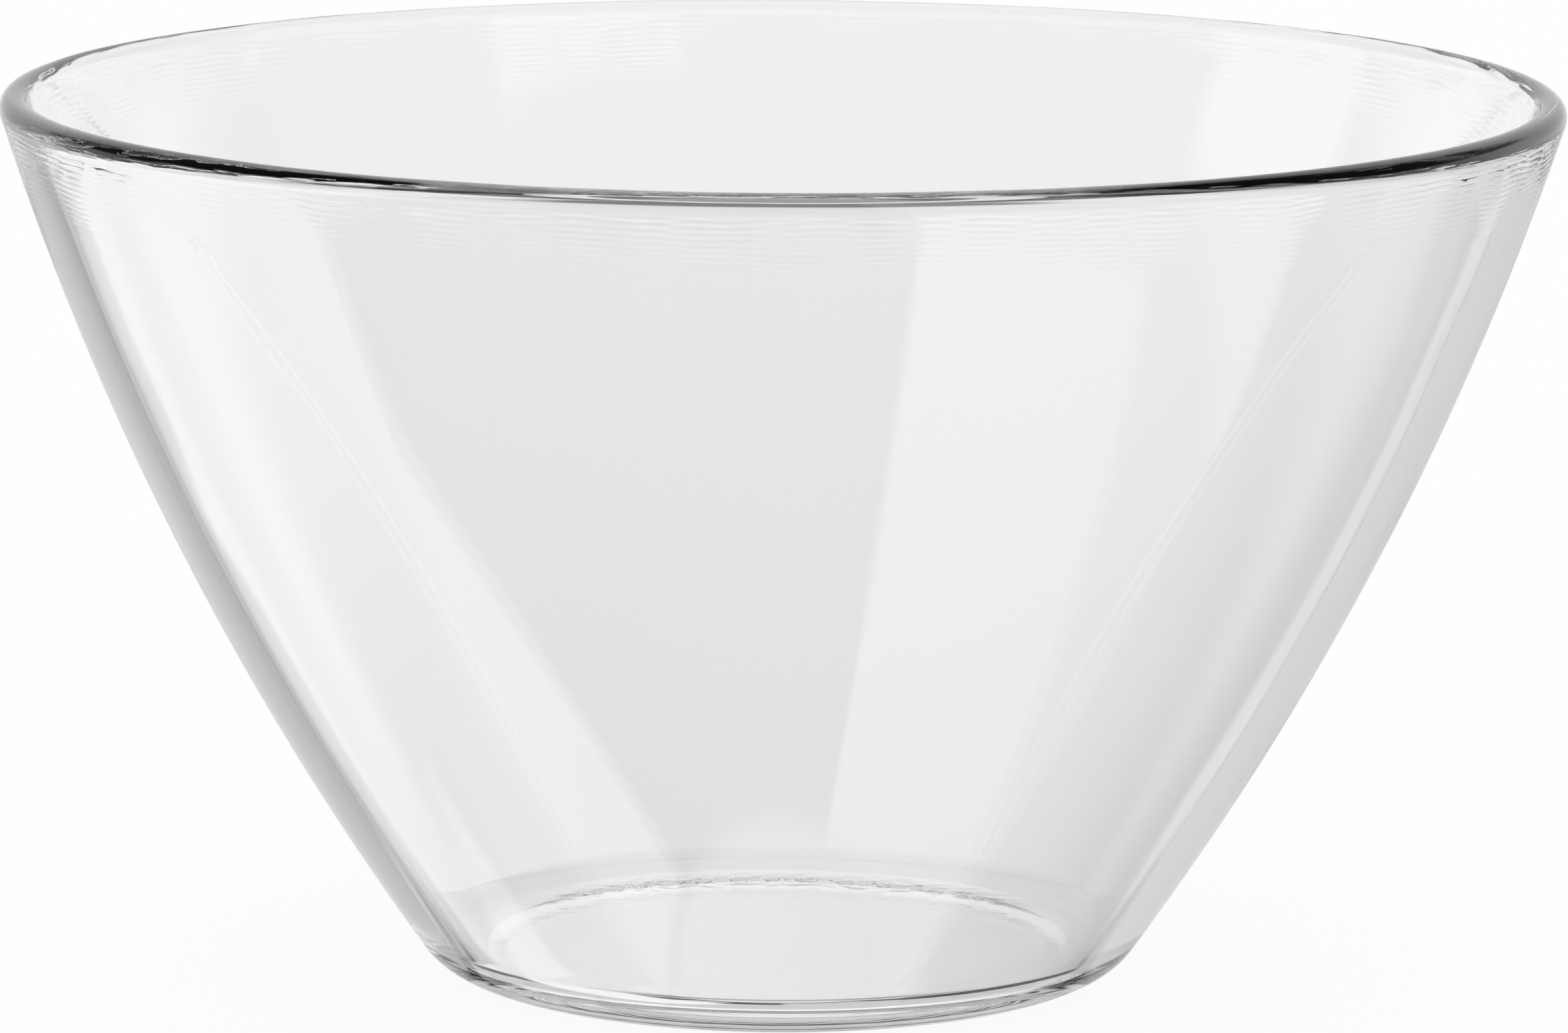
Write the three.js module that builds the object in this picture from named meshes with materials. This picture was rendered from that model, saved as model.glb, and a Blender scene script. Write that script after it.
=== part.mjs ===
// A flared glass bowl, pressed in one piece: a curved wall of even thickness, a fire-polished rim,
// a rounded heel and a thicker flat floor whose underside is sunk inside a flat standing ring.
// Millimetres, +Z up. The origin is the centre of the standing ring, on the surface it stands on.

import * as THREE from 'three';

// Driving dimensions
const rimDiameter = 230; // over the outside of the rim, the widest place
const height = 131.8;
const rimLean = 17.5; // degrees from vertical that the wall leans outwards, just under the rim
const heelLean = 35.1; // the same, just above the heel
const wallThickness = 4.7;
const floorThickness = 5.4; // from the standing plane to the inside of the floor
const heelRadius = 10.9; // outside, between the wall and the standing ring
const filletRadius = 6.5; // inside, between the wall and the floor
const ringWidth = 1; // flat standing ring
const recessDepth = 0.6; // how far the underside is sunk inside the ring
const recessSlope = 1.6; // width of the sloping edge between the ring and the sunk underside

// Fineness of the faceted surface
const turnSteps = 96;
const heelSteps = 6;
const wallSteps = 10;
const rimSteps = 10;
const filletSteps = 6;

// The half section, in (radius, height), as the arcs and lines that it is drawn with
function halfSection() {
  const lean = { rim: THREE.MathUtils.degToRad(rimLean), heel: THREE.MathUtils.degToRad(heelLean) };

  // The rim is a half round as thick as the wall
  const rimRadius = wallThickness / 2;
  const rimCentre = new THREE.Vector2(rimDiameter / 2 - rimRadius, height - rimRadius);

  // The wall bends evenly from one lean to the other, between the heel and the rim
  const wallTop = rimCentre.y - rimRadius * Math.sin(lean.rim);
  const wallFoot = heelRadius * (1 - Math.sin(lean.heel));
  const wallRadius = (wallTop - wallFoot) / (Math.sin(lean.heel) - Math.sin(lean.rim));
  const wallCentre = new THREE.Vector2(
    rimCentre.x - (wallRadius - rimRadius) * Math.cos(lean.rim),
    rimCentre.y + (wallRadius - rimRadius) * Math.sin(lean.rim),
  );

  // The heel touches the standing plane where the ring's outer edge is
  const ringOuter = wallCentre.x + (wallRadius - heelRadius) * Math.cos(lean.heel);
  const ringInner = ringOuter - ringWidth;
  const recessRadius = ringInner - recessSlope;

  // The fillet touches the inside of the wall and the floor
  const insideRadius = wallRadius - wallThickness;
  const filletHeight = floorThickness + filletRadius;
  const filletReach = insideRadius - filletRadius;
  const filletDrop = filletHeight - wallCentre.y;
  const filletCentre = wallCentre.x + Math.sqrt(filletReach ** 2 - filletDrop ** 2);
  const filletAngle = Math.atan2(filletDrop, filletCentre - wallCentre.x);

  const underside = [
    new THREE.Vector2(0, recessDepth),
    new THREE.Vector2(recessRadius, recessDepth),
    new THREE.Vector2(ringInner, 0),
  ];
  const heel = arc(ringOuter, heelRadius, heelRadius, -Math.PI / 2, -lean.heel, heelSteps);
  const outside = arc(wallCentre.x, wallCentre.y, wallRadius, -lean.heel, -lean.rim, wallSteps);
  const rim = arc(rimCentre.x, rimCentre.y, rimRadius, -lean.rim, Math.PI - lean.rim, rimSteps);
  const inside = arc(wallCentre.x, wallCentre.y, insideRadius, -lean.rim, filletAngle, wallSteps);
  const fillet = arc(filletCentre, filletHeight, filletRadius, filletAngle, -Math.PI / 2, filletSteps);
  const floor = [new THREE.Vector2(0, floorThickness)];

  // Each arc starts where the last one ended, so its first point is left out
  return [
    ...underside,
    ...heel,
    ...[outside, rim, inside, fillet].flatMap((points) => points.slice(1)),
    ...floor,
  ];
}

// Points along an arc, from one angle to another
function arc(centreX, centreY, radius, from, to, steps) {
  const curve = new THREE.ArcCurve(centreX, centreY, radius, from, to, to < from);
  return curve.getPoints(steps);
}

// The one piece of glass, turned about the upright axis
function makeBowl() {
  const geometry = new THREE.LatheGeometry(halfSection(), turnSteps);
  const clearGlass = new THREE.MeshStandardMaterial({
    name: 'clear_glass',
    color: 0xeef1f0,
    roughness: 0.02,
    metalness: 0,
    transparent: true,
    opacity: 0.35,
  });
  const bowl = new THREE.Mesh(geometry, clearGlass);
  bowl.name = 'bowl';
  bowl.rotation.x = Math.PI / 2; // the lathe turns about +Y
  return bowl;
}

const glassBowl = new THREE.Group();
glassBowl.add(makeBowl());

export default glassBowl;
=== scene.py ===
import math

import bpy
import numpy as np
from mathutils import Matrix, Vector


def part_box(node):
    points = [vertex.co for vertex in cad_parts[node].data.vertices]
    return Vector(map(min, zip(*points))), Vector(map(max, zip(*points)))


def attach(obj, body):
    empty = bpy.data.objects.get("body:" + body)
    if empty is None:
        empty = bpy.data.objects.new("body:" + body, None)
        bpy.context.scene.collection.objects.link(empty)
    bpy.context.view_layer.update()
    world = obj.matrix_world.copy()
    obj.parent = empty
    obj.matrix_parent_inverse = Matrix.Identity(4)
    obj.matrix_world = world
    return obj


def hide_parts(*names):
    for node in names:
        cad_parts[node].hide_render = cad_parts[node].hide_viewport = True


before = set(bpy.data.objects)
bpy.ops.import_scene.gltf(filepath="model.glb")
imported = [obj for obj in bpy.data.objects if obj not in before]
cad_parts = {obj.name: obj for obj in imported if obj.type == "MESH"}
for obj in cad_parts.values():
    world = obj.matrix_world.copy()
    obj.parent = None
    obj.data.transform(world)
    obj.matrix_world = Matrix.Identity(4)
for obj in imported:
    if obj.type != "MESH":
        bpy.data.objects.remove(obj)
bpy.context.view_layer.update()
scene = bpy.context.scene
mm = 0.001
fullTurn = 2 * math.pi
print("frame loaded:", sorted(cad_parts))


# sRGB hex to linear, with full alpha
def hexToLinear(code):
    parts = [int(code[i:i + 2], 16) / 255 for i in (1, 3, 5)]
    return tuple(c / 12.92 if c <= 0.04045 else ((c + 0.055) / 1.055) ** 2.4 for c in parts) + (1.0,)


# adds a node: settings are its own properties, inputs are values or sockets to link from
def addNode(tree, kind, settings=None, inputs=None):
    node = tree.nodes.new(kind)
    for name, value in (settings or {}).items():
        setattr(node, name, value)
    for key, value in (inputs or {}).items():
        if isinstance(value, bpy.types.NodeSocket):
            tree.links.new(value, node.inputs[key])
        else:
            node.inputs[key].default_value = value
    return node


# the glass bowl: one pressing, turned about the upright axis (sizes in mm, leans in degrees)
# its width and height come from the frame
bowl = {
    "rimLean": 17.5,         # of the wall from upright, just under the rim
    "heelLean": 35.1,        # and just above the heel
    "wall": 4.7,
    "floor": 5.4,            # from the table to the inside of the floor
    "heelRadius": 10.9,
    "filletRadius": 6.5,     # inside, between wall and floor
    "ringWidth": 1.0,        # flat ring that the bowl stands on
    "recessDepth": 0.3,      # how far the underside is sunk inside the ring
    "recessSlope": 3.0,      # width of the slope between the two
    # fine waves that the chilled glass keeps just under the rim, on both faces
    "rimWaves": {
        "seed": 7,
        "reach": 13.0,       # how far down the wall they go
        "widest": 1.00,      # wave length at the rim
        "narrowest": 0.72,   # wave length where they fade out
        "depthOutside": 0.042,
        "depthInside": 0.045,
        "rise": 0.5,         # distance over which they grow from the plain rim
        "fade": 1.5,         # distance over which the first, strong ones sink to a third
        "linger": 0.38,      # share of the depth that fades slowly, to the end of the reach
        "lingerPower": 1.5,  # how quickly that share falls off
        "sets": ((1.0, 1.0), (0.3, 1.13)),  # strength and rate of the waves, one set over the other
        # a wave line strays up and down in long bends and in short ones: the range of bends in a turn,
        # their usual size in cycles, and the share that is lost by the end of the reach
        "strays": ((2, 8, 0.8, 0.5), (24, 90, 0.225, 0.6)),
        "bends": 6,          # drawn for each of the two
    },
    # slow waviness of the whole pressing, from the mould and the cooling
    "castWaves": {
        "seed": 21,
        "count": 40,
        "depth": 0.004,
        "length": (16, 60),  # of one wave
        "atRim": 5.0,        # times as deep at the soft, fire-polished rim
        "rimFade": 4.0,      # distance down from the rim over which the extra depth sinks to a third
    },
    # short wrinkles where the hot glass met the plunger's edge, on the back part of the floor
    "floorWrinkles": {
        "seed": 4,
        "count": 18,
        "radius": 40.0,        # where they are deepest
        "spread": 3.5,         # distance to either side over which they sink to a third
        "depth": 0.060,
        "around": (20, 90),    # wrinkles in a full turn
        "length": (2.4, 5.0),  # from one wrinkle to the next, outwards
        "back": (0.25, 0.70),  # sine of the turn angle where they start, and where they are full
        "upTo": 3.0,           # height above the floor, in the fillet
    },
    # how finely the surface is divided
    "steps": {
        "turn": 300,
        "under": 7,
        "slope": 12,
        "heel": 26,
        "wall": 26,
        "wavesOutside": 100,
        "wavesInside": 60,
        "rim": 26,
        "fillet": 20,
        "floorEdge": 11,
        "floorMiddle": 7,
    },
    "hub": 2.0,              # radius of the fan of faces at the middle of floor and underside
    "floorEdge": 8.0,        # width of floor beside the fillet with the finer steps
    "floorMiddle": 10.0,     # distance from the fillet where the coarse steps begin
}


def arc(centre, radius, start, end, steps):
    angles = np.linspace(start, end, steps + 1)
    return np.stack([centre[0] + radius * np.cos(angles), centre[1] + radius * np.sin(angles)], 1)


def flatRun(reach, height):
    return np.stack([reach, np.full_like(reach, height)], 1)


# half section of the bowl in mm as (radius, height), from the underside's hub to the floor's
def halfSection(rimReach, height):
    steps = bowl["steps"]
    rimLean = math.radians(bowl["rimLean"])
    heelLean = math.radians(bowl["heelLean"])
    heelRadius = bowl["heelRadius"]
    filletRadius = bowl["filletRadius"]

    # the wall bends evenly from one lean to the other, and the rim is a half round as thick as the wall
    rimRound = bowl["wall"] / 2
    rimCentre = np.array([rimReach - rimRound, height - rimRound])
    wallTop = rimCentre[1] - rimRound * math.sin(rimLean)
    wallFoot = heelRadius * (1 - math.sin(heelLean))
    wallRadius = (wallTop - wallFoot) / (math.sin(heelLean) - math.sin(rimLean))
    wallCentre = rimCentre + (wallRadius - rimRound) * np.array([-math.cos(rimLean), math.sin(rimLean)])
    insideRadius = wallRadius - bowl["wall"]
    wavesEnd = rimLean + bowl["rimWaves"]["reach"] / wallRadius  # lean of the wall where the waves end

    # the heel meets the ring's outer edge, and the slope of the sunk underside its inner edge
    ringOuter = wallCentre[0] + (wallRadius - heelRadius) * math.cos(heelLean)
    ringInner = ringOuter - bowl["ringWidth"]
    recessEdge = ringInner - bowl["recessSlope"]

    # the fillet touches the inside of the wall and the floor
    filletHeight = bowl["floor"] + filletRadius
    filletReach = insideRadius - filletRadius
    filletDrop = filletHeight - wallCentre[1]
    filletX = wallCentre[0] + math.sqrt(filletReach ** 2 - filletDrop ** 2)
    filletAngle = math.atan2(filletDrop, filletX - wallCentre[0])

    under = flatRun(np.linspace(bowl["hub"], recessEdge, steps["under"] + 1), bowl["recessDepth"])
    share = np.linspace(0, 1, steps["slope"] + 1)
    slope = np.stack([recessEdge + share * bowl["recessSlope"], bowl["recessDepth"] * (1 - share)], 1)
    ring = np.array([[ringInner + bowl["ringWidth"] / 2, 0.0]])
    heel = arc((ringOuter, heelRadius), heelRadius, -math.pi / 2, -heelLean, steps["heel"])
    outsideLow = arc(wallCentre, wallRadius, -heelLean, -wavesEnd, steps["wall"])
    outsideTop = arc(wallCentre, wallRadius, -wavesEnd, -rimLean, steps["wavesOutside"])
    rim = arc(rimCentre, rimRound, -rimLean, math.pi - rimLean, steps["rim"])
    insideTop = arc(wallCentre, insideRadius, -rimLean, -wavesEnd, steps["wavesInside"])
    insideLow = arc(wallCentre, insideRadius, -wavesEnd, filletAngle, steps["wall"])
    fillet = arc((filletX, filletHeight), filletRadius, filletAngle, -math.pi / 2, steps["fillet"])
    floorEdge = np.linspace(filletX, filletX - bowl["floorEdge"], steps["floorEdge"] + 1)
    floorMiddle = np.linspace(filletX - bowl["floorMiddle"], bowl["hub"], steps["floorMiddle"] + 1)
    floor = flatRun(np.concatenate([floorEdge, floorMiddle]), bowl["floor"])

    # a run that starts where the last one ended leaves out its first point
    joined = [outsideLow, outsideTop, rim, insideTop, insideLow, fillet, floor]
    runs = [under, slope[1:], ring, heel] + [run[1:] for run in joined]
    return np.concatenate(runs), wallTop, rimLean


# height of the rim waves at a distance down from the rim and a turn angle, as a share of their depth
def waveField(down, turn, rng):
    waves = bowl["rimWaves"]
    share = np.clip(down / waves["reach"], 0, 1)
    span = waves["widest"] - waves["narrowest"]
    length = waves["widest"] - span * share
    cycles = -np.log(length / waves["widest"]) * waves["reach"] / span
    field = 0
    for strength, rate in waves["sets"]:
        stray = 0
        for start, stop, size, lost in waves["strays"]:
            for i in range(waves["bends"]):
                around = rng.integers(start, stop)
                push = rng.normal(0, size)
                lag = rng.uniform(0, fullTurn)
                stray = stray + push * np.sin(around * turn + lag) * (1 - lost * share)
        field = field + strength * np.cos(fullTurn * (cycles * rate + stray))
    first = (1 - waves["linger"]) * np.exp(-down / waves["fade"])
    slow = waves["linger"] * (1 - share) ** waves["lingerPower"]
    return field * (first + slow)


# slow waviness at each point of the surface, in mm
def castField(places):
    cast = bowl["castWaves"]
    rng = np.random.default_rng(cast["seed"])
    field = 0
    for i in range(cast["count"]):
        heading = rng.normal(size=3)
        heading = heading / np.linalg.norm(heading)
        length = rng.uniform(*cast["length"])
        lag = rng.uniform(0, fullTurn)
        field = field + np.sin(places @ heading * fullTurn / length + lag)
    return field * cast["depth"] / math.sqrt(cast["count"] / 2)


# wrinkles along the edge of the floor, in mm
def wrinkleField(radius, turn):
    wrinkles = bowl["floorWrinkles"]
    rng = np.random.default_rng(wrinkles["seed"])
    outwards = radius - wrinkles["radius"]
    field = 0
    for i in range(wrinkles["count"]):
        around = rng.integers(*wrinkles["around"])
        length = rng.uniform(*wrinkles["length"]) * rng.choice((-1, 1))
        lag = rng.uniform(0, fullTurn)
        field = field + np.sin(around * turn + fullTurn * outwards / length + lag)
    near = np.exp(-(outwards / wrinkles["spread"]) ** 2)
    start, full = wrinkles["back"]
    share = np.clip((np.sin(turn) - start) / (full - start), 0, 1)
    atBack = share * share * (3 - 2 * share)  # eases in and out
    return field * near * atBack * wrinkles["depth"] / math.sqrt(wrinkles["count"] / 2)


# how far each point of the pressing stands off the plain turned shape, in mm
def unevenness(section, turn, wallTop, rimLean):
    waves = bowl["rimWaves"]
    cast = bowl["castWaves"]
    radius, height = section[:, :1], section[:, 1:]
    order = np.arange(len(section))[:, None]
    top = np.argmax(section[:, 1])
    down = np.maximum(0, (wallTop - height) / math.cos(rimLean))
    nearRim = (height > wallTop - waves["reach"]) & (height < wallTop)
    rng = np.random.default_rng(waves["seed"])
    outside = waveField(down, turn, rng) * waves["depthOutside"] * (nearRim & (order < top))
    inside = waveField(down, turn, rng) * waves["depthInside"] * (nearRim & (order > top))
    grow = np.clip(down / waves["rise"], 0, 1)
    plain = np.stack(np.broadcast_arrays(radius * np.cos(turn), radius * np.sin(turn), height), -1)
    loose = 1 + (cast["atRim"] - 1) * np.exp(-down / cast["rimFade"])
    onFloor = (order > top) & (height < bowl["floor"] + bowl["floorWrinkles"]["upTo"])
    return (outside + inside) * grow + castField(plain) * loose + wrinkleField(radius, turn) * onFloor


# faces of a turned skin, row by row, with a fan at the underside's centre and one at the floor's
def turnedFaces(rows, steps):
    here = np.arange(steps)
    beside = (here + 1) % steps
    rowStart = np.arange(rows - 1)[:, None] * steps
    a = rowStart + here
    b = rowStart + beside
    faces = np.stack([a, b, b + steps, a + steps], -1).reshape(-1, 4).tolist()
    lastRow = (rows - 1) * steps
    underCentre = rows * steps
    floorCentre = underCentre + 1
    for i, j in zip(here.tolist(), beside.tolist()):
        faces.append([underCentre, j, i])
        faces.append([floorCentre, lastRow + i, lastRow + j])
    return faces


def buildBowl():
    low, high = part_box("bowl")
    section, wallTop, rimLean = halfSection((high.x - low.x) / 2 / mm, high.z / mm)
    steps = bowl["steps"]["turn"]
    turn = np.linspace(0, fullTurn, steps, endpoint=False)[None, :]
    along = np.gradient(section, axis=0)
    along /= np.linalg.norm(along, axis=1)[:, None]
    lift = unevenness(section, turn, wallTop, rimLean)
    radius = section[:, :1] + lift * along[:, 1:]
    height = section[:, 1:] - lift * along[:, :1]
    points = np.stack([radius * np.cos(turn), radius * np.sin(turn), height], -1).reshape(-1, 3)
    centres = [[0, 0, bowl["recessDepth"]], [0, 0, bowl["floor"]]]
    points = np.concatenate([points, centres]) * mm

    mesh = bpy.data.meshes.new("glass_bowl")
    mesh.from_pydata(points.tolist(), [], turnedFaces(len(section), steps))
    mesh.shade_smooth()
    mesh.validate()
    piece = bpy.data.objects.new("glass_bowl", mesh)
    scene.collection.objects.link(piece)
    triangles = sum(len(face.vertices) - 2 for face in mesh.polygons)
    print("bowl built:", len(mesh.vertices), "points,", triangles, "triangles")
    return piece


# the bowl's finish
glassFinish = {
    "tint": "#fefefe",
    "ior": 1.5,
    "roughness": 0.0,
}


# clear and colourless, bright at the faces, dark in the rim and the foot: partly light trapped past the
# bounce limit, partly painted shade in the studio for light reflected many times
def sodaLimeGlass():
    material = bpy.data.materials.new("pressed soda-lime glass, fire-polished")
    material.use_nodes = True
    tree = material.node_tree
    tree.nodes.clear()
    shader = addNode(tree, "ShaderNodeBsdfPrincipled", {}, {
        "Base Color": hexToLinear(glassFinish["tint"]),
        "Roughness": glassFinish["roughness"],
        "IOR": glassFinish["ior"],
        "Transmission Weight": 1.0,
    })
    addNode(tree, "ShaderNodeOutputMaterial", {}, {"Surface": shader.outputs["BSDF"]})
    return material


# what a ray has done in the glass, counted from the camera, decides what it sees of table and studio
rayCounts = {
    "reflected": 1,   # reflections
    "guided": 5,      # reflections, for light that ran a long way inside the wall
    "inWall": 1,      # faces gone through
    "twoWalls": 3,    # faces gone through, into a second wall
}


# 1 for a ray with at least this count, or else 0 (counts are whole, so the test is half a step lower)
def atLeast(tree, path, depth, count):
    test = addNode(tree, "ShaderNodeMath", {"operation": "GREATER_THAN"},
                   {0: path.outputs[depth], 1: rayCounts[count] - 0.5})
    return test.outputs[0]


# the pale table that the bowl stands on (metres)
table = {
    "radius": 8.0,
    "steps": 96,
    "drop": 0.0002,       # below the bowl, so that the two faces stay apart
    "pale": "#f6f6f6",
    "white": "#ffffff",
    "plainWhite": 0.92,   # share of plain white, the rest is lit and keeps the bowl's real shadow
    "throughOneWall": 0.94,      # level of that white where glass is in front
    "paintedFootGlowRing": (0.044, 0.064),  # from the middle: a ring of painted glow, the table under the foot as seen through two walls
    # painted light: the table under the foot glows at this level, below full white, seen only through the
    # glass
    "paintedFootGlowLevel": 0.80,
}


# even and pale, without any shine
def whiteAcrylic():
    material = bpy.data.materials.new("matt white acrylic table")
    material.use_nodes = True
    tree = material.node_tree
    tree.nodes.clear()
    path = addNode(tree, "ShaderNodeLightPath")
    white = hexToLinear(table["white"])

    # plain white to the eye, and a little of the lit surface
    seen = addNode(tree, "ShaderNodeMath", {"operation": "MAXIMUM"},
                   {0: path.outputs["Is Camera Ray"], 1: path.outputs["Is Transmission Ray"]})
    plain = addNode(tree, "ShaderNodeMath", {"operation": "MULTIPLY"},
                    {0: seen.outputs[0], 1: table["plainWhite"]})
    strength = addNode(tree, "ShaderNodeMix", {"data_type": "FLOAT"},
                       {0: path.outputs["Is Camera Ray"], 2: table["throughOneWall"], 3: 1.0})
    lit = addNode(tree, "ShaderNodeBsdfDiffuse", {}, {"Color": hexToLinear(table["pale"])})
    glow = addNode(tree, "ShaderNodeEmission", {}, {"Color": white, "Strength": strength.outputs[0]})
    surface = addNode(tree, "ShaderNodeMixShader", {},
                      {0: plain.outputs[0], 1: lit.outputs[0], 2: glow.outputs[0]})

    # light that comes back out of the glass looks past the table at the studio itself, but through two
    # walls it sees a painted glow of the table in a ring under the foot
    reflected = atLeast(tree, path, "Glossy Depth", "reflected")
    twoWalls = atLeast(tree, path, "Transmission Depth", "twoWalls")
    turned = addNode(tree, "ShaderNodeMath", {"operation": "MAXIMUM"}, {0: reflected, 1: twoWalls})
    place = addNode(tree, "ShaderNodeNewGeometry")
    away = addNode(tree, "ShaderNodeVectorMath", {"operation": "LENGTH"}, {0: place.outputs["Position"]})
    inner, outer = table["paintedFootGlowRing"]
    ring = addNode(tree, "ShaderNodeMath", {"operation": "COMPARE"},
                   {0: away.outputs["Value"], 1: (inner + outer) / 2, 2: (outer - inner) / 2})
    beyond = addNode(tree, "ShaderNodeMath", {"operation": "SUBTRACT"}, {0: 1.0, 1: ring.outputs[0]})
    unseen = addNode(tree, "ShaderNodeMath", {"operation": "MAXIMUM"}, {0: reflected, 1: beyond.outputs[0]})
    # painted glow of the table under the foot, only for light that went through two walls
    foot = addNode(tree, "ShaderNodeEmission", {}, {"Color": white, "Strength": table["paintedFootGlowLevel"]})
    clear = addNode(tree, "ShaderNodeBsdfTransparent")
    past = addNode(tree, "ShaderNodeMixShader", {},
                   {0: unseen.outputs[0], 1: foot.outputs[0], 2: clear.outputs[0]})
    mix = addNode(tree, "ShaderNodeMixShader", {},
                  {0: turned.outputs[0], 1: surface.outputs[0], 2: past.outputs[0]})
    addNode(tree, "ShaderNodeOutputMaterial", {}, {"Surface": mix.outputs[0]})
    return material


def buildTable():
    mesh = bpy.data.meshes.new("table")
    steps = table["steps"]
    points = [(0, 0, 0)]
    for i in range(steps):
        angle = fullTurn * i / steps
        points.append((table["radius"] * math.cos(angle), table["radius"] * math.sin(angle), 0))
    faces = [(0, 1 + i, 1 + (i + 1) % steps) for i in range(steps)]
    mesh.from_pydata(points, [], faces)
    mesh.materials.append(whiteAcrylic())
    piece = bpy.data.objects.new("table", mesh)
    scene.collection.objects.link(piece)
    piece.location.z = -table["drop"]
    print("table built")


# soft studio light: white all round, lighting everything evenly; the set that the glass picks up is painted
# reflection and shade, seen only in the glass (degrees)
studio = {
    "white": "#ffffff",
    "whiteUpTo": 11.0,    # painted reflection: reflected light sees white up to here, and a painted dark overhead
    "darkFrom": 19.0,
    "dark": 0.08,
    "paintedGuidedDark": 0.03,      # painted shade: the level that light sees after it has run a long way inside the wall
    "flattest": -5.0,     # straight through two walls: white far behind, and a painted shade that makes it a little dimmer close by
    "steepest": -17.0,
    "steepLevel": 0.84,
    # light runs a long way inside the wall before it comes out at the rim or the foot
    "bounces": 72,
    "reflections": 64,
    "facesThrough": 24,
    # zones are boxes of direction: azimuth from straight behind the bowl to the right, then elevation
    # each is a painted level of light or shade that only the glass shows, named for the set piece it stands
    # in for; each says what light it shows in, and a later one lies over those before it
    # face: reflected before any glass, wall: reflected, and in or through one wall,
    # far: reflected, and on into a second wall, guided: a long way inside the glass,
    # straight: into a second wall without being reflected
    # lean is how far a zone moves to the right for each degree above its pivot
    "zones": [
        {"name": "box front right", "in": "face wall",
         "azimuth": (130, 163), "elevation": (-5, 28), "level": 1.0, "soft": 1.5},
        {"name": "box left", "in": "face wall",
         "azimuth": (-104, -73), "elevation": (-5, 25), "level": 1.0, "soft": 1.5},
        {"name": "shade behind left", "in": "far",
         "azimuth": (-85, -17), "elevation": (-28, -3), "level": 0.08, "soft": 2},
        {"name": "shade behind right", "in": "far",
         "azimuth": (17, 85), "elevation": (-28, -3), "level": 0.08, "soft": 2},
        {"name": "sweep behind", "in": "face wall far",
         "azimuth": (-36, 36), "elevation": (0, 78), "level": 0.85, "soft": 6},
        {"name": "sweep behind, right", "in": "far",
         "azimuth": (1, 36), "elevation": (0, 32), "level": 0.66, "soft": 4},
        {"name": "under", "in": "face wall far",
         "azimuth": (-180, 180), "elevation": (-120, -33), "level": 0.05, "soft": 3},
        {"name": "flag in front", "in": "face wall",
         "azimuth": (156, 267), "elevation": (-120, -25), "level": 0.0, "soft": 1},
        {"name": "side left", "in": "face wall",
         "azimuth": (-50, -6), "elevation": (-33, -8), "level": 0.73, "soft": 2},
        {"name": "side left, low", "in": "face wall",
         "azimuth": (-50, -6), "elevation": (-33, -19), "level": 0.59, "soft": 4},
        {"name": "side left, inner", "in": "face wall",
         "azimuth": (-50, -20), "elevation": (-33, -8), "level": 0.54, "soft": 6},
        {"name": "side left, edge", "in": "face wall",
         "azimuth": (-50, -28.5), "elevation": (-33, -8), "level": 0.42, "soft": 1.5},
        {"name": "card left", "in": "face",
         "azimuth": (-98, -34), "elevation": (-60, -15), "level": 1.0, "soft": 0.7},
        {"name": "card left", "in": "wall",
         "azimuth": (-98, -38), "elevation": (-60, -15), "level": 1.0, "soft": 1.5},
        {"name": "card left, low", "in": "face",
         "azimuth": (-98, -30), "elevation": (-60, -31), "level": 1.0, "soft": 1.0},
        {"name": "card left, far edge", "in": "face wall", "lean": 0.98, "pivot": -66,
         "azimuth": (-120, -75), "elevation": (-72, -24), "level": 1.0, "soft": 1.0},
        {"name": "rim shade left", "in": "wall",
         "azimuth": (-88, -24), "elevation": (-75, -42), "level": 0.05, "soft": 7},
        {"name": "far right", "in": "face wall",
         "azimuth": (38, 156), "elevation": (-120, -15), "level": 0.55, "soft": 1},
        {"name": "card right", "in": "face wall",
         "azimuth": (88, 156), "elevation": (-120, -40.5), "level": 1.0, "soft": 0.8},
        {"name": "far right, edge", "in": "face wall", "lean": 0.88, "pivot": -56.5,
         "azimuth": (70, 99), "elevation": (-120, -15), "level": 0.55, "soft": 1.0},
        {"name": "rim shade right", "in": "wall",
         "azimuth": (37, 85), "elevation": (-66, 12), "level": 0.05, "soft": 2},
        {"name": "foot front", "in": "face wall far",
         "azimuth": (-28, 28), "elevation": (-70, -33), "level": 0.60, "soft": 2},
        {"name": "foot front, left", "in": "wall",
         "azimuth": (-62, -9), "elevation": (-64, -44), "level": 0.95, "soft": 2},
        {"name": "foot front, dark", "in": "wall",
         "azimuth": (-14, 1), "elevation": (-72, -62), "level": 0.08, "soft": 1.5},
        {"name": "side right", "in": "face wall",
         "azimuth": (6, 38), "elevation": (-33, -8), "level": 0.70, "soft": 2},
        {"name": "heel shade", "in": "face wall",
         "azimuth": (-34, -25), "elevation": (-38, -32.5), "level": 0.05, "soft": 1},
        {"name": "table close by", "in": "face wall far",
         "azimuth": (-200, 200), "elevation": (-120, -72.5), "level": 0.80, "soft": 1.5},
        {"name": "sweep behind", "in": "guided",
         "azimuth": (-60, 60), "elevation": (27, 100), "level": 0.80, "soft": 8},
        {"name": "overhead", "in": "guided",
         "azimuth": (-200, 200), "elevation": (62, 120), "level": 0.80, "soft": 5},
        {"name": "front right", "in": "guided",
         "azimuth": (35, 150), "elevation": (-12, 25), "level": 1.0, "soft": 5},
        {"name": "lighter left", "in": "straight",
         "azimuth": (-25, -3.5), "elevation": (-21, -6), "level": 0.96, "soft": 2},
        # painted shade under the bowl, seen straight through two walls
        {"name": "under left", "in": "straight",
         "azimuth": (-60, -5.5), "elevation": (-120, -36.5), "level": 0.03, "soft": 0.8},
        {"name": "under middle", "in": "straight",
         "azimuth": (-6, 6), "elevation": (-120, -28), "level": 0.25, "soft": 1.5},
        {"name": "under right", "in": "straight",
         "azimuth": (5.5, 60), "elevation": (-120, -36.5), "level": 0.03, "soft": 0.8},
    ],
}


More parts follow.
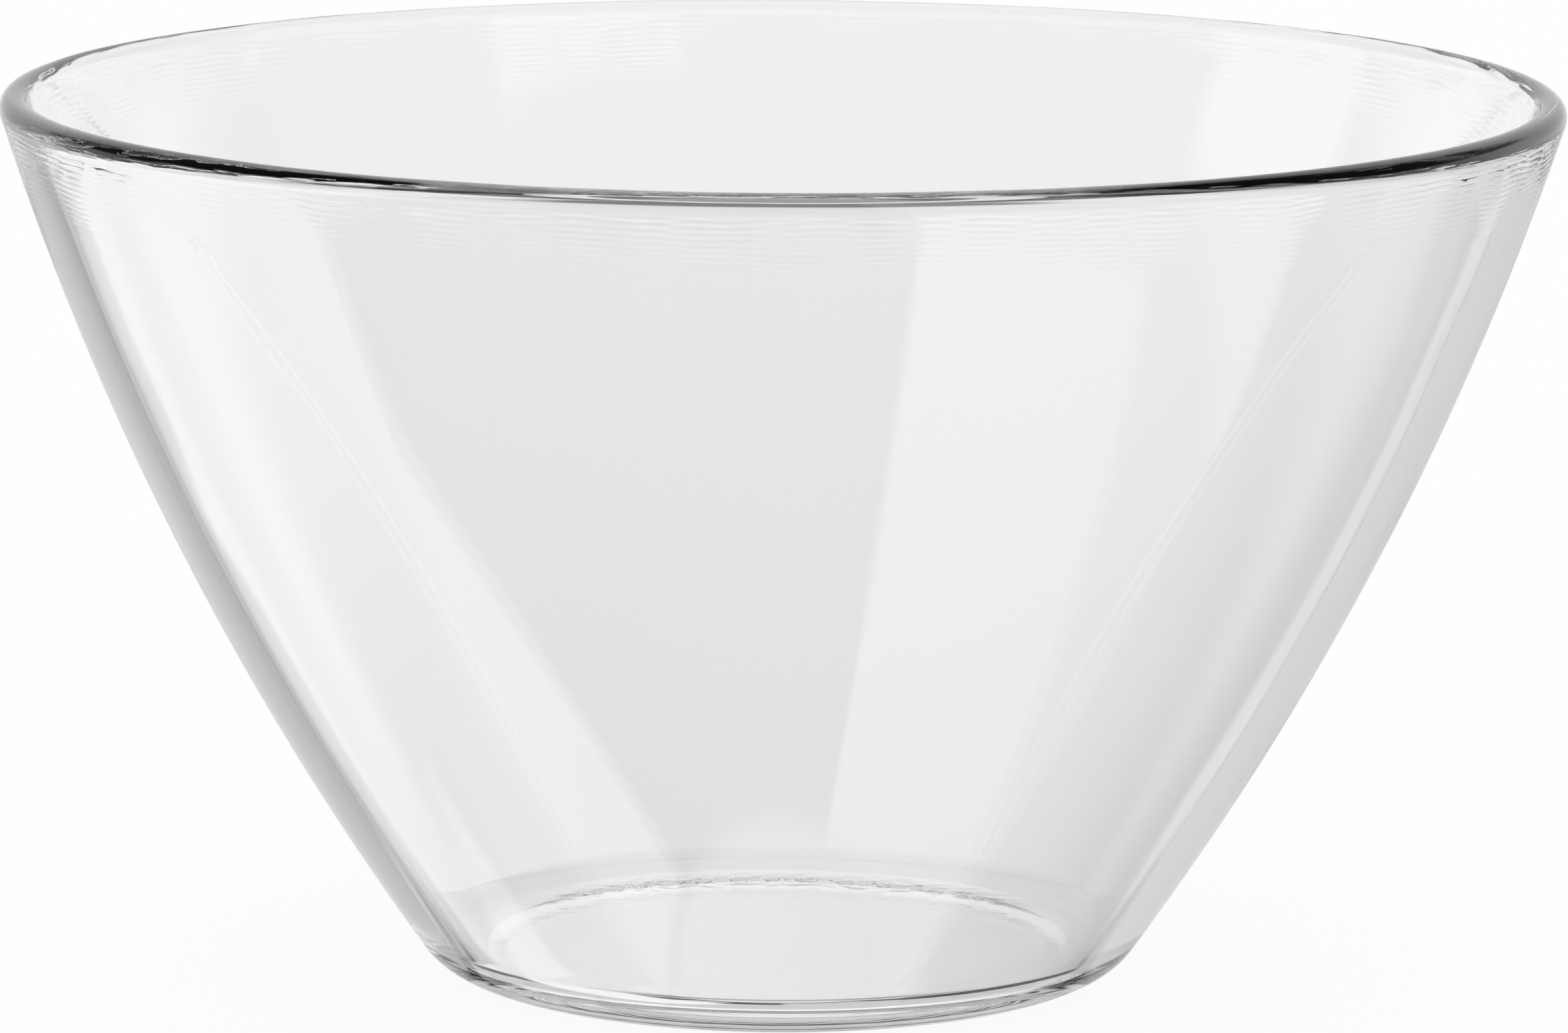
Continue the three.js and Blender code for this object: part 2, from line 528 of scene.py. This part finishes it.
# lays a zone over what was seen before: its own level inside the box, with soft edges
def layZone(tree, zone, azimuth, elevation, before):
    swing = addNode(tree, "ShaderNodeMath", {"operation": "SUBTRACT"},
                    {0: elevation, 1: math.radians(zone.get("pivot", 0))})
    leaning = addNode(tree, "ShaderNodeMath", {"operation": "MULTIPLY_ADD"},
                      {0: swing.outputs[0], 1: -zone.get("lean", 0.0), 2: azimuth})
    soft = math.radians(zone["soft"])
    masks = []
    for angle, (start, end) in ((leaning.outputs[0], zone["azimuth"]), (elevation, zone["elevation"])):
        half = math.radians((end - start) / 2)
        off = addNode(tree, "ShaderNodeMath", {"operation": "SUBTRACT"},
                      {0: angle, 1: math.radians((start + end) / 2)})
        turned = addNode(tree, "ShaderNodeMath", {"operation": "WRAP"},
                         {0: off.outputs[0], 1: math.pi, 2: -math.pi})
        away = addNode(tree, "ShaderNodeMath", {"operation": "ABSOLUTE"}, {0: turned.outputs[0]})
        masks.append(addNode(tree, "ShaderNodeMapRange", {"interpolation_type": "SMOOTHSTEP"}, {
            "Value": away.outputs[0],
            "From Min": half - soft,
            "From Max": half + soft,
            "To Min": 1.0,
            "To Max": 0.0,
        }))
    inside = addNode(tree, "ShaderNodeMath", {"operation": "MULTIPLY"},
                     {0: masks[0].outputs[0], 1: masks[1].outputs[0]})
    laid = addNode(tree, "ShaderNodeMix", {"data_type": "FLOAT", "label": zone["name"]},
                   {0: inside.outputs[0], 2: before, 3: zone["level"]})
    return laid.outputs[0]


def lightStudio():
    world = bpy.data.worlds.new("studio")
    world.use_nodes = True
    scene.world = world
    tree = world.node_tree
    tree.nodes.clear()
    path = addNode(tree, "ShaderNodeLightPath")
    coords = addNode(tree, "ShaderNodeTexCoord")
    direction = addNode(tree, "ShaderNodeSeparateXYZ", {}, {0: coords.outputs["Generated"]})
    azimuth = addNode(tree, "ShaderNodeMath", {"operation": "ARCTAN2"},
                      {0: direction.outputs["X"], 1: direction.outputs["Y"]})
    elevation = addNode(tree, "ShaderNodeMath", {"operation": "ARCSINE"}, {0: direction.outputs["Z"]})
    sky = addNode(tree, "ShaderNodeMapRange", {"interpolation_type": "SMOOTHSTEP"}, {
        "Value": elevation.outputs[0],
        "From Min": math.radians(studio["whiteUpTo"]),
        "From Max": math.radians(studio["darkFrom"]),
        "To Min": 1.0,
        "To Max": studio["dark"],
    })
    ground = addNode(tree, "ShaderNodeMapRange", {}, {
        "Value": elevation.outputs[0],
        "From Min": math.radians(studio["steepest"]),
        "From Max": math.radians(studio["flattest"]),
        "To Min": studio["steepLevel"],
        "To Max": 1.0,
    })

    # what each kind of light sees, zone over zone: painted reflection and shade
    # light reflected five times or more sees a painted dark, but for the guided zones
    seen = {"face": sky.outputs[0], "wall": sky.outputs[0], "far": sky.outputs[0],
            "guided": studio["paintedGuidedDark"], "straight": ground.outputs[0]}
    for zone in studio["zones"]:
        for kind in zone["in"].split():
            seen[kind] = layZone(tree, zone, azimuth.outputs[0], elevation.outputs[0], seen[kind])

    # each ray gets its own kind, and light through one wall at most is plain white; the painted zones show
    # only in light that the glass has turned
    reflected = atLeast(tree, path, "Glossy Depth", "reflected")
    guided = atLeast(tree, path, "Glossy Depth", "guided")
    inWall = atLeast(tree, path, "Transmission Depth", "inWall")
    twoWalls = atLeast(tree, path, "Transmission Depth", "twoWalls")
    through = addNode(tree, "ShaderNodeMix", {"data_type": "FLOAT"},
                      {0: twoWalls, 2: 1.0, 3: seen["straight"]})
    nearby = addNode(tree, "ShaderNodeMix", {"data_type": "FLOAT"},
                     {0: inWall, 2: seen["face"], 3: seen["wall"]})
    anyFew = addNode(tree, "ShaderNodeMix", {"data_type": "FLOAT"},
                     {0: twoWalls, 2: nearby.outputs[0], 3: seen["far"]})
    mirrored = addNode(tree, "ShaderNodeMix", {"data_type": "FLOAT"},
                       {0: guided, 2: anyFew.outputs[0], 3: seen["guided"]})
    strength = addNode(tree, "ShaderNodeMix", {"data_type": "FLOAT"},
                       {0: reflected, 2: through.outputs[0], 3: mirrored.outputs[0]})
    glow = addNode(tree, "ShaderNodeBackground", {},
                   {"Color": hexToLinear(studio["white"]), "Strength": strength.outputs[0]})
    addNode(tree, "ShaderNodeOutputWorld", {}, {"Surface": glow.outputs[0]})
    scene.cycles.max_bounces = studio["bounces"]
    scene.cycles.glossy_bounces = studio["reflections"]
    scene.cycles.transmission_bounces = studio["facesThrough"]
    print("studio lit")


# the photo's camera (metres, lens and sensor in mm, roll in degrees)
view = {
    "place": (0.0, -1.300, 0.29543),
    "aim": (0.0005, 0.0, 0.0678),
    "lens": 204.2,
    "sensor": 36.0,
    "roll": 0.342,
    "nearest": 0.01,
    "farthest": 50,
}


def placeCamera():
    data = bpy.data.cameras.new("camera")
    data.lens = view["lens"]
    data.sensor_width = view["sensor"]
    data.clip_start = view["nearest"]
    data.clip_end = view["farthest"]
    camera = bpy.data.objects.new("camera", data)
    scene.collection.objects.link(camera)
    look = Vector(view["aim"]) - Vector(view["place"])
    turn = look.to_track_quat("-Z", "Y").to_matrix().to_4x4()
    roll = Matrix.Rotation(math.radians(view["roll"]), 4, "Z")
    camera.matrix_world = Matrix.Translation(view["place"]) @ turn @ roll
    scene.camera = camera
    print("camera placed")


scene.view_settings.view_transform = "Standard"
placeCamera()
lightStudio()
buildTable()
glass = buildBowl()
glass.data.materials.append(sodaLimeGlass())
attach(glass, "root")
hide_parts("bowl")
